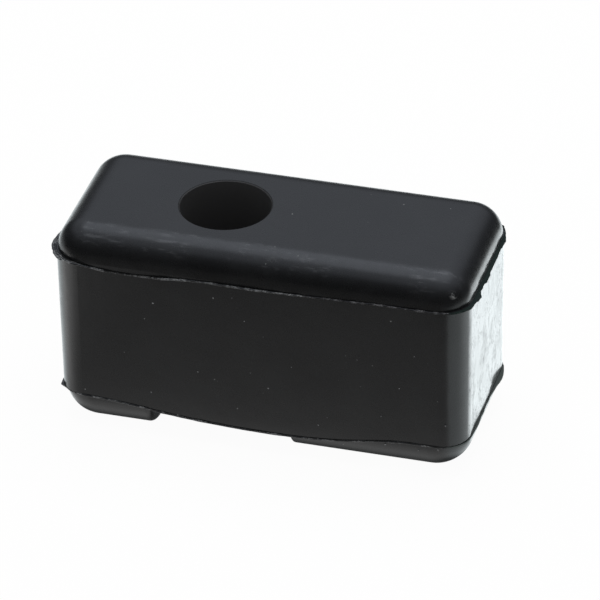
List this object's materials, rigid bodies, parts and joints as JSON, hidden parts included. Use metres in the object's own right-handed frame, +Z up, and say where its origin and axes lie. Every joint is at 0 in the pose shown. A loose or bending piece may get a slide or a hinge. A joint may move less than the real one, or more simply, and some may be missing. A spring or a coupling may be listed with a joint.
{
  "type": "rubber door stop",
  "caption": "Solid moulded rubber stop block with rounded shoulders, a counterbored hole for a fixing bolt and a notch across its underside.",
  "frame": {"origin": "middle of the block's plan, at the level of the feet's undersides", "axes": "+Z up through the crown, +X along the block away from the bolt hole's end, -Y the front"},
  "size_m": [0.1047, 0.0444, 0.0545],
  "materials": {
    "rubber": "black moulded rubber, satin, with torn mould flash"
  },
  "bodies": {
    "root": {"stop_block": "rubber"}
  },
  "joints": []
}
